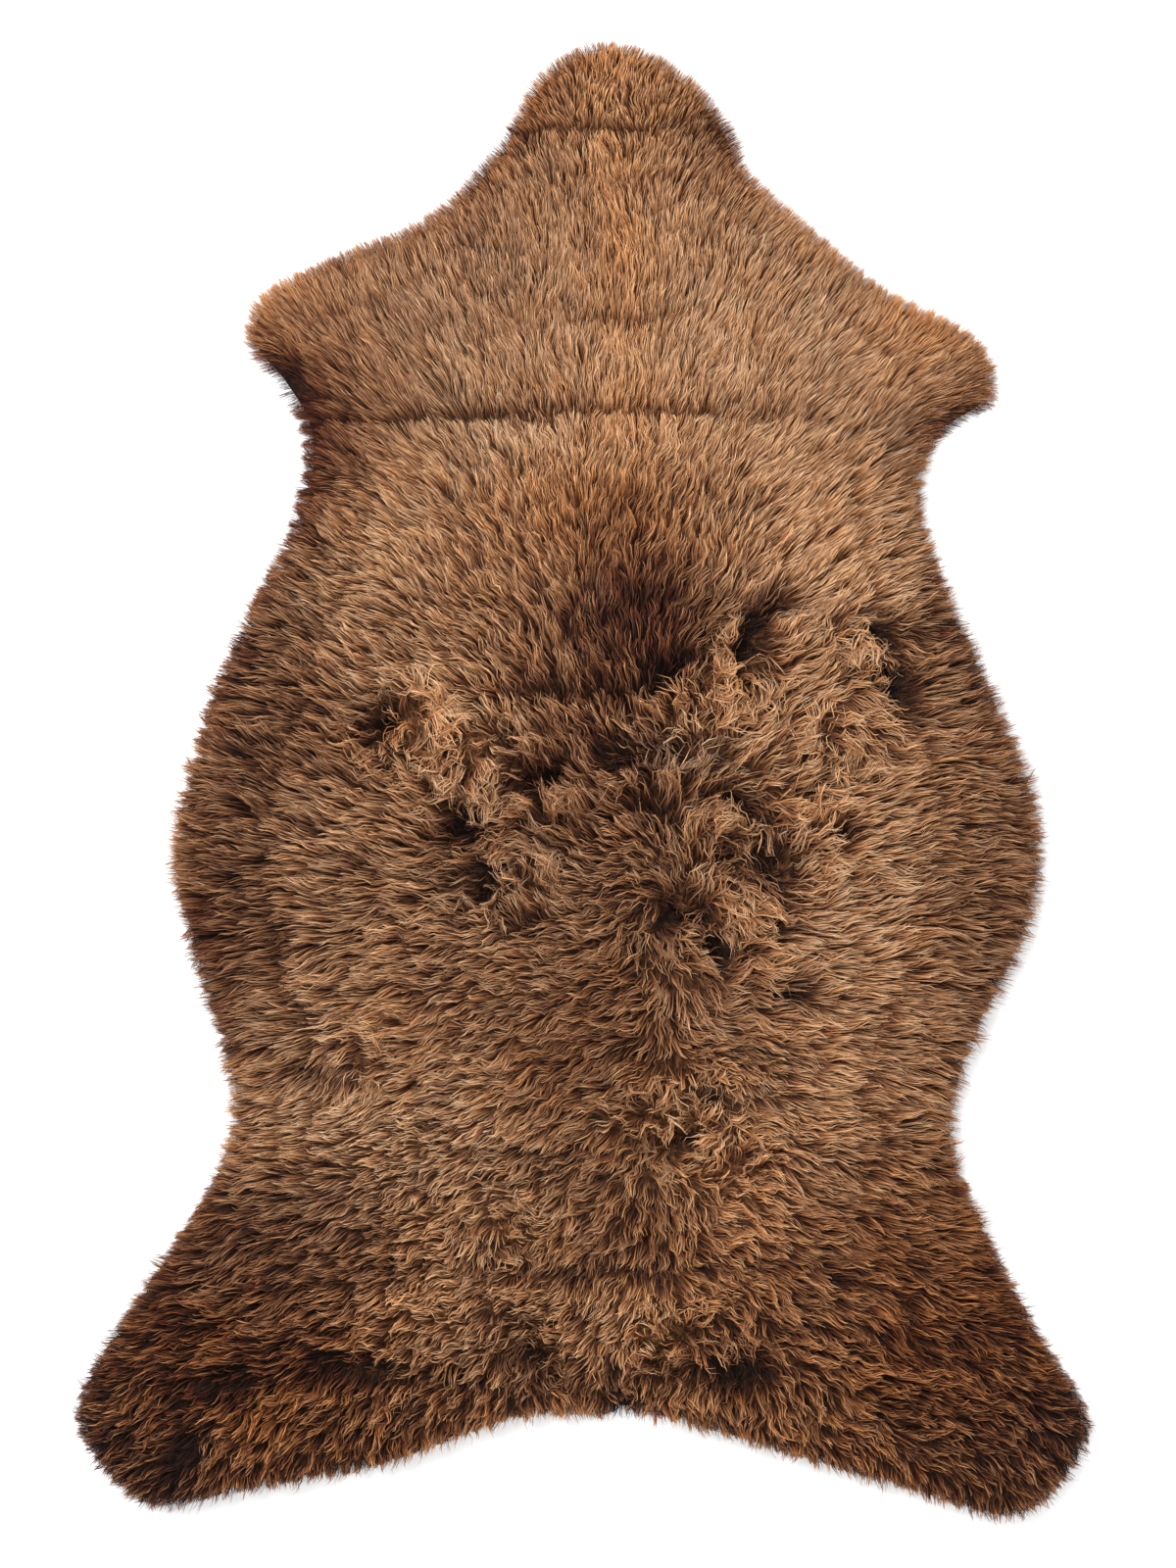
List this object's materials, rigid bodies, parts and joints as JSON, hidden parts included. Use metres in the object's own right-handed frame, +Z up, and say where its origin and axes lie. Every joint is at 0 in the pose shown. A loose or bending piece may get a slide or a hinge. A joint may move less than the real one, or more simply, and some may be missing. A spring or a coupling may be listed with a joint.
{
  "type": "lambskin",
  "caption": "Whole brown lambskin laid out flat, wool side up, with neck, forelegs and hind legs. A soft rug or seat throw with a thick, tufted fleece.",
  "frame": {"origin": "on the floor, under the middle of the pelt's outline", "axes": "+Z up out of the wool, +Y along the spine towards the neck, +X towards the pelt's right side as it is seen from above with the neck away from the viewer"},
  "size_m": [0.7012, 1.004, 0.0349],
  "materials": {
    "wool": "brown wool with darker roots and tan tips, matt with a soft sheen",
    "hide": "undyed tanned suede of the underside"
  },
  "bodies": {
    "root": {"lambskin": "wool"}
  },
  "joints": []
}
